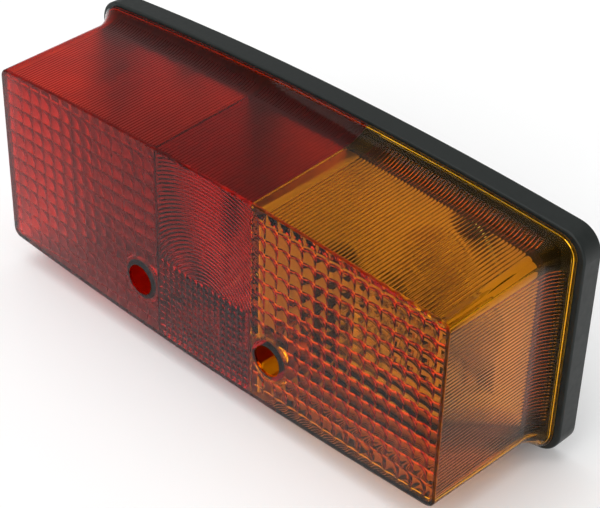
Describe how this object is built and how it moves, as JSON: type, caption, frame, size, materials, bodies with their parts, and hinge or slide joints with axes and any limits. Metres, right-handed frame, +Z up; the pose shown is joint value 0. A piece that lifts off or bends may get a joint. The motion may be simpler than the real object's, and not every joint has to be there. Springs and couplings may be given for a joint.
{
  "type": "tail light cluster",
  "caption": "Rear combination lamp with a crowned black base, a deep red and amber block lens with moulded optics, screw wells and bayonet bulbs in separate bays.",
  "frame": {"origin": "centre of the flat mounting face at the back of the base", "axes": "+X along the lamp towards the amber indicator, +Y out of the back of the base towards the vehicle, +Z up"},
  "size_m": [0.246, 0.068, 0.103],
  "materials": {
    "base_plastic": "black moulded plastic, satin",
    "gasket_rubber": "matt black rubber",
    "red_acrylic": "clear red moulded acrylic",
    "amber_acrylic": "clear amber moulded acrylic",
    "zinc_steel": "zinc plated",
    "washer_fibre": "matt sealing washer",
    "rivet_steel": "zinc plated",
    "grommet_rubber": "matt black rubber",
    "bright_reflector": "bright rolled sheet",
    "holder_steel": "zinc plated sheet",
    "insulating_fibre": "brown laminated board",
    "contact_brass": "bare spring brass",
    "cap_nickel": "nickel plated brass",
    "clear_glass": "clear blown glass",
    "filament_wire": "drawn wire"
  },
  "bodies": {
    "root": {"base_housing": "base_plastic", "lens_gasket": "gasket_rubber", "red_lens": "red_acrylic", "amber_lens": "amber_acrylic", "lens_screws": "zinc_steel", "screw_washers": "washer_fibre", "holder_rivets": "rivet_steel", "cable_grommet": "grommet_rubber", "tail_reflector": "bright_reflector", "tail_bulb_holder": "holder_steel", "tail_contact_plate": "insulating_fibre", "tail_contact_spring": "contact_brass", "tail_bulb_cap": "cap_nickel", "tail_bulb_glass": "clear_glass", "tail_bulb_filament": "filament_wire", "stop_reflector": "bright_reflector", "stop_bulb_holder": "holder_steel", "stop_contact_plate": "insulating_fibre", "stop_contact_spring": "contact_brass", "stop_bulb_cap": "cap_nickel", "stop_bulb_glass": "clear_glass", "stop_bulb_filament": "filament_wire", "indicator_reflector": "bright_reflector", "indicator_bulb_holder": "holder_steel", "indicator_contact_plate": "insulating_fibre", "indicator_contact_spring": "contact_brass", "indicator_bulb_cap": "cap_nickel", "indicator_bulb_glass": "clear_glass", "indicator_bulb_filament": "filament_wire"}
  },
  "joints": []
}
